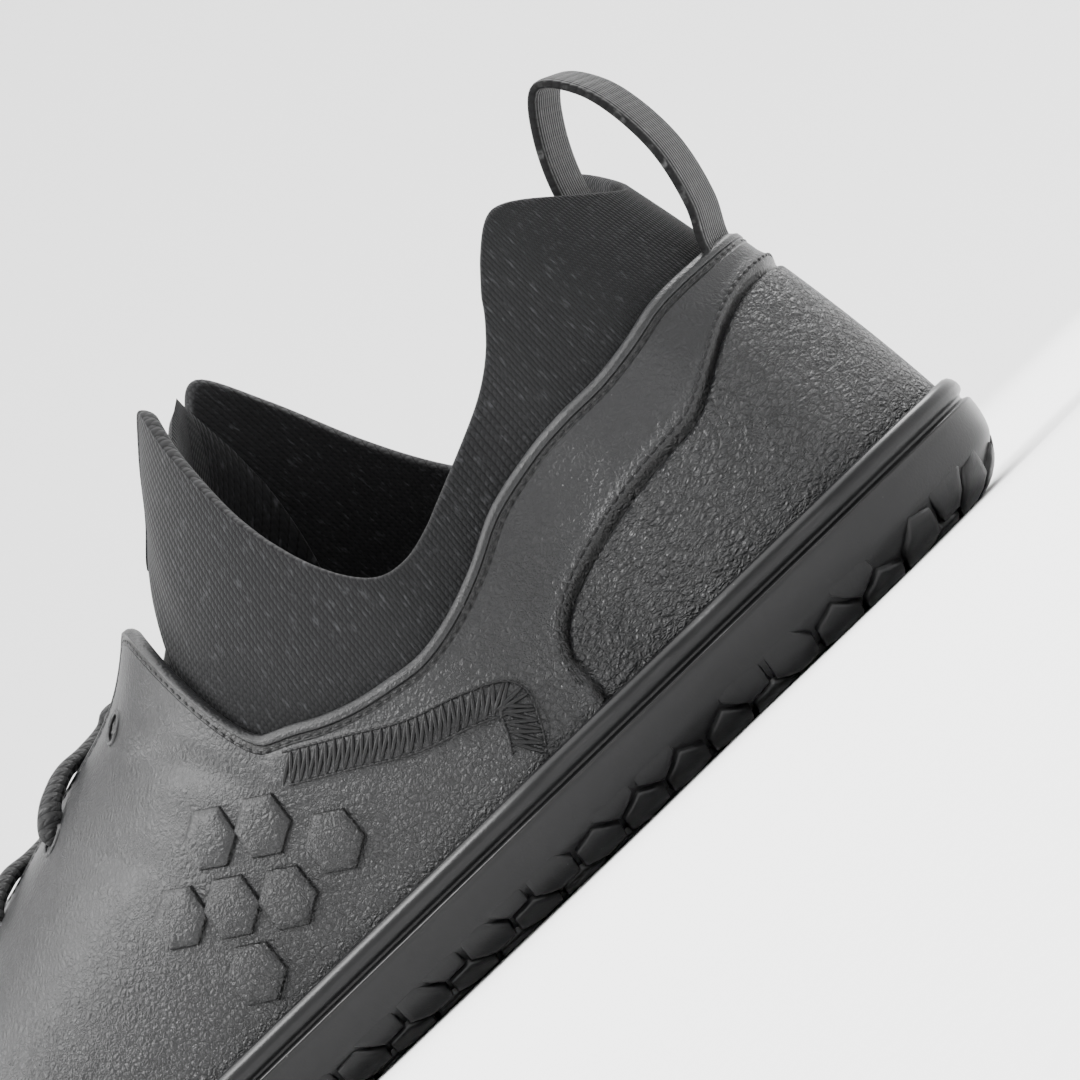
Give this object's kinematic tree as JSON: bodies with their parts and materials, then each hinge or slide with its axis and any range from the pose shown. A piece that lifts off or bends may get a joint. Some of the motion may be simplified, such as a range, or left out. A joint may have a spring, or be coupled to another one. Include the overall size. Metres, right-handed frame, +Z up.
{
  "type": "barefoot shoe",
  "caption": "Low lace-up barefoot shoe for the left foot: thin flat cupped rubber sole with a honeycomb tread, leather upper, knitted collar and tongue, and a heel pull loop.",
  "frame": {"origin": "on the floor, under the middle of the shoe's box", "axes": "+Z up from the floor, +Y from the toe to the heel, so the toe points to -Y, and +X to the wearer's left, the little toe's side"},
  "size_m": [0.1066, 0.2846, 0.0925],
  "materials": {
    "rubber": "black moulded rubber, satin, with a fine honeycomb tread",
    "footbed": "dark grey foam footbed with a woven cover",
    "leather": "black fine-grained leather, soft satin",
    "pebbled": "black leather with a coarse pebbled grain",
    "knit": "charcoal flecked rib knit",
    "cord": "black braided cord",
    "webbing": "black woven webbing"
  },
  "bodies": {
    "root": {"outsole": "rubber", "insole": "footbed", "upper": "leather", "heel_counter": "pebbled", "collar": "knit", "tongue": "knit", "laces": "cord", "pull_loop": "webbing"}
  },
  "joints": []
}
